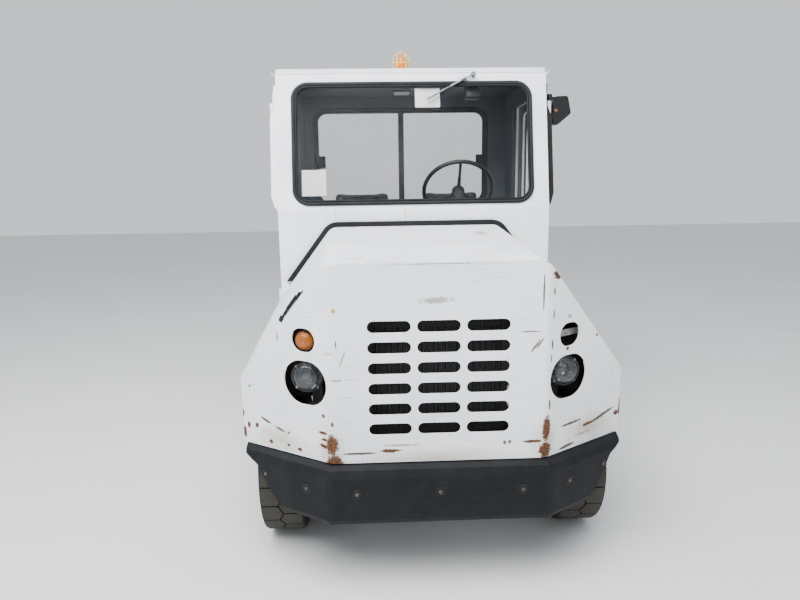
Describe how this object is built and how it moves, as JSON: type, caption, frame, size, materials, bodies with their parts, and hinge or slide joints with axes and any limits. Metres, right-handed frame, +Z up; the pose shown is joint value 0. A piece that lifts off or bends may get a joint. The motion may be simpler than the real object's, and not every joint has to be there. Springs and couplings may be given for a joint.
{
  "type": "airport baggage tug",
  "caption": "Airport baggage tug with a folded sheet nose, side-opening hood, glazed two-seat cab with doors, steered front wheels, rear deck and pin hitch.",
  "frame": {"origin": "on the floor, under the middle of the overall box, which the door mirror makes 54 mm to the vehicle's left of its centre plane", "axes": "+Z up, -Y forwards, +X to the vehicle's left, the driver's side"},
  "size_m": [1.786, 3.14, 2.36],
  "materials": {
    "body_white": "gloss, worn",
    "body_grey": "gloss, worn",
    "chassis_black": "satin",
    "engine_grey": "matte",
    "bumper_rubber": "matte, scuffed",
    "seal_rubber": "matte",
    "tyre_rubber": "dusty",
    "rim_paint": "satin",
    "lamp_steel": "gloss",
    "amber_lens": "gloss",
    "red_lens": "gloss",
    "guard_yellow": "gloss",
    "clear_glass": "clear",
    "black_plastic": "matte",
    "seat_vinyl": "satin",
    "bare_steel": "satin",
    "inner_grey": "satin"
  },
  "bodies": {
    "body": {"chassis_frame": "chassis_black", "engine_block": "engine_grey", "radiator": "chassis_black", "front_bumper": "bumper_rubber", "nose_panel": "body_white", "fender_left": "body_white", "fender_right": "body_white", "hood_seal": "seal_rubber", "headlamps": "lamp_steel", "indicator_lamp": "amber_lens", "cab_front": "body_grey", "cab_rear": "body_grey", "cab_side_left": "body_grey", "cab_side_right": "body_grey", "cab_roof": "body_grey", "cab_floor": "inner_grey", "window_seals": "seal_rubber", "cab_glass": "clear_glass", "dashboard": "inner_grey", "seat_box": "inner_grey", "seat_driver": "seat_vinyl", "seat_passenger": "seat_vinyl", "beacon": "amber_lens", "beacon_guard": "guard_yellow", "wiper": "bare_steel", "rear_deck": "body_white", "rear_plate": "chassis_black", "tail_lamps": "red_lens", "front_axle": "chassis_black", "rear_axle": "chassis_black"},
    "knuckle_left": {"knuckle_left": "chassis_black"},
    "knuckle_right": {"knuckle_right": "chassis_black"},
    "tie_rod": {"tie_rod": "chassis_black"},
    "wheel_front_left": {"tyre_front_left": "tyre_rubber", "rim_front_left": "rim_paint"},
    "wheel_front_right": {"tyre_front_right": "tyre_rubber", "rim_front_right": "rim_paint"},
    "wheel_rear_left": {"tyre_rear_left": "tyre_rubber", "rim_rear_left": "rim_paint"},
    "wheel_rear_right": {"tyre_rear_right": "tyre_rubber", "rim_rear_right": "rim_paint"},
    "steering_wheel": {"steering_wheel": "black_plastic"},
    "hood": {"hood": "body_white", "hood_latch": "seal_rubber"},
    "door_left": {"door_left": "body_grey", "door_left_seal": "seal_rubber", "door_left_glass": "clear_glass", "mirror": "black_plastic"},
    "door_right": {"door_right": "body_grey", "door_right_seal": "seal_rubber", "door_right_glass": "clear_glass"},
    "hitch_pin": {"hitch_pin": "bare_steel"}
  },
  "joints": [
    {"name": "steer_left", "type": "hinge", "parent": "body", "child": "knuckle_left", "pos_m": [0.4885, -1, 0.32], "axis": [0, 0, 1], "range_deg": [-30, 30]},
    {"name": "steer_right", "type": "hinge", "parent": "body", "child": "knuckle_right", "pos_m": [-0.5965, -1, 0.32], "axis": [0, 0, 1], "range_deg": [-30, 30]},
    {"name": "tie_rod_pivot", "type": "hinge", "parent": "knuckle_left", "child": "tie_rod", "pos_m": [0.4885, -0.87, 0.2645], "axis": [0, 0, 1], "range_deg": [-30, 30]},
    {"name": "steering_wheel_turn", "type": "hinge", "parent": "body", "child": "steering_wheel", "pos_m": [0.251, 0.258, 1.512], "axis": [0, 0.788, 0.6157], "range_deg": [-360, 360]},
    {"name": "front_left_roll", "type": "hinge", "parent": "knuckle_left", "child": "wheel_front_left", "pos_m": [0.5885, -1, 0.32], "axis": [1, 0, 0], "continuous": true},
    {"name": "front_right_roll", "type": "hinge", "parent": "knuckle_right", "child": "wheel_front_right", "pos_m": [-0.6965, -1, 0.32], "axis": [1, 0, 0], "continuous": true},
    {"name": "rear_left_roll", "type": "hinge", "parent": "body", "child": "wheel_rear_left", "pos_m": [0.5885, 0.81, 0.32], "axis": [1, 0, 0], "continuous": true},
    {"name": "rear_right_roll", "type": "hinge", "parent": "body", "child": "wheel_rear_right", "pos_m": [-0.6965, 0.81, 0.32], "axis": [1, 0, 0], "continuous": true},
    {"name": "hood_hinge", "type": "hinge", "parent": "body", "child": "hood", "pos_m": [0.52233, -1.53, 1.023], "axis": [0.0902, 0.9959, 0], "range_deg": [0, 70]},
    {"name": "door_left_hinge", "type": "hinge", "parent": "body", "child": "door_left", "pos_m": [0.758, 0.014, 1.23], "axis": [0, 0, -1], "range_deg": [0, 80]},
    {"name": "door_right_hinge", "type": "hinge", "parent": "body", "child": "door_right", "pos_m": [-0.866, 0.014, 1.23], "axis": [0, 0, 1], "range_deg": [0, 80]},
    {"name": "hitch_pin_lift", "type": "slide", "parent": "body", "child": "hitch_pin", "axis": [0, 0, 1], "range_m": [0, 0.15]}
  ],
  "couplings": [
    {"joint": "steer_right", "follows": "steer_left", "ratio": 1},
    {"joint": "tie_rod_pivot", "follows": "steer_left", "ratio": -1},
    {"joint": "steering_wheel_turn", "follows": "steer_left", "ratio": 12}
  ]
}
